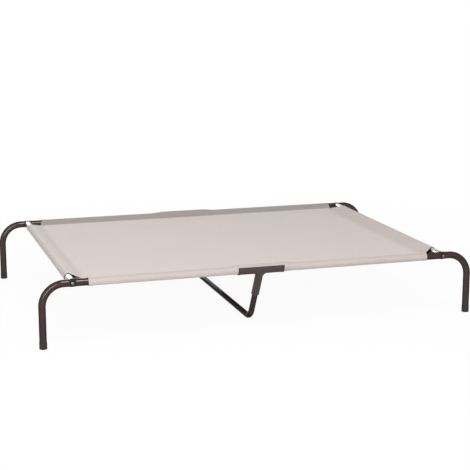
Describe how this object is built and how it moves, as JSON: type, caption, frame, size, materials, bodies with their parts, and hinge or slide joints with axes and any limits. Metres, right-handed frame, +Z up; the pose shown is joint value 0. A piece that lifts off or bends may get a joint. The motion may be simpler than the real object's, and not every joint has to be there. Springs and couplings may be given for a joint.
{
  "type": "raised dog cot",
  "caption": "Raised dog cot: a fabric sling sleeved on a bolted steel tube frame, on bent legs with a leaning centre support under its middle.",
  "frame": {"origin": "on the floor, under the middle of the frame", "axes": "+X along the cot, +Y towards the rear long side, +Z up"},
  "size_m": [1.5254, 1.0124, 0.2285],
  "materials": {
    "frame_tube": "satin powder coat",
    "tee": "fine moulded texture",
    "foot_cap": "matte",
    "end_plug": "moulded",
    "bolt": "black zinc",
    "end_tube": "galvanised",
    "nut": "zinc plated",
    "cover": "coated mesh weave"
  },
  "bodies": {
    "frame": {"leg_front_left": "frame_tube", "leg_front_right": "frame_tube", "leg_rear_left": "frame_tube", "leg_rear_right": "frame_tube", "foot_cap_front_left": "foot_cap", "foot_cap_front_right": "foot_cap", "foot_cap_rear_left": "foot_cap", "foot_cap_rear_right": "foot_cap", "long_rail_front_left": "frame_tube", "long_rail_front_right": "frame_tube", "long_rail_rear_left": "frame_tube", "long_rail_rear_right": "frame_tube", "short_rail_left": "end_tube", "short_rail_right": "end_tube", "end_plug_front_left": "end_plug", "end_plug_front_right": "end_plug", "end_plug_rear_left": "end_plug", "end_plug_rear_right": "end_plug", "corner_nut_front_left": "nut", "corner_nut_front_right": "nut", "corner_nut_rear_left": "nut", "corner_nut_rear_right": "nut", "tee_front": "tee", "tee_rear": "tee", "centre_support": "frame_tube", "cover_panel": "cover", "sleeve_front_left": "cover", "sleeve_front_right": "cover", "sleeve_rear_left": "cover", "sleeve_rear_right": "cover", "sleeve_left": "cover", "sleeve_right": "cover", "tee_flap_front": "cover", "tee_flap_rear": "cover"},
    "washer_front_left": {"washer_front_left": "bolt"},
    "bolt_front_left": {"corner_bolt_front_left": "bolt"},
    "washer_front_right": {"washer_front_right": "bolt"},
    "bolt_front_right": {"corner_bolt_front_right": "bolt"},
    "washer_rear_left": {"washer_rear_left": "bolt"},
    "bolt_rear_left": {"corner_bolt_rear_left": "bolt"},
    "washer_rear_right": {"washer_rear_right": "bolt"},
    "bolt_rear_right": {"corner_bolt_rear_right": "bolt"}
  },
  "joints": [
    {"name": "bolt_travel_front_left", "type": "slide", "parent": "frame", "child": "washer_front_left", "axis": [0, -1, 0], "range_m": [0, 0.01]},
    {"name": "bolt_turn_front_left", "type": "hinge", "parent": "washer_front_left", "child": "bolt_front_left", "pos_m": [-0.651, -0.49, 0.211], "axis": [0, -1, 0], "range_deg": [0, 3610]},
    {"name": "bolt_travel_front_right", "type": "slide", "parent": "frame", "child": "washer_front_right", "axis": [0, -1, 0], "range_m": [0, 0.01]},
    {"name": "bolt_turn_front_right", "type": "hinge", "parent": "washer_front_right", "child": "bolt_front_right", "pos_m": [0.651, -0.49, 0.211], "axis": [0, -1, 0], "range_deg": [0, 3610]},
    {"name": "bolt_travel_rear_left", "type": "slide", "parent": "frame", "child": "washer_rear_left", "axis": [0, 1, 0], "range_m": [0, 0.01]},
    {"name": "bolt_turn_rear_left", "type": "hinge", "parent": "washer_rear_left", "child": "bolt_rear_left", "pos_m": [-0.651, 0.49, 0.211], "axis": [0, 1, 0], "range_deg": [0, 3610]},
    {"name": "bolt_travel_rear_right", "type": "slide", "parent": "frame", "child": "washer_rear_right", "axis": [0, 1, 0], "range_m": [0, 0.01]},
    {"name": "bolt_turn_rear_right", "type": "hinge", "parent": "washer_rear_right", "child": "bolt_rear_right", "pos_m": [0.651, 0.49, 0.211], "axis": [0, 1, 0], "range_deg": [0, 3610]}
  ],
  "couplings": [
    {"joint": "bolt_turn_front_left", "follows": "bolt_travel_front_left", "rad_per_m": 6283.2},
    {"joint": "bolt_turn_front_right", "follows": "bolt_travel_front_right", "rad_per_m": 6283.2},
    {"joint": "bolt_turn_rear_left", "follows": "bolt_travel_rear_left", "rad_per_m": 6283.2},
    {"joint": "bolt_turn_rear_right", "follows": "bolt_travel_rear_right", "rad_per_m": 6283.2}
  ]
}
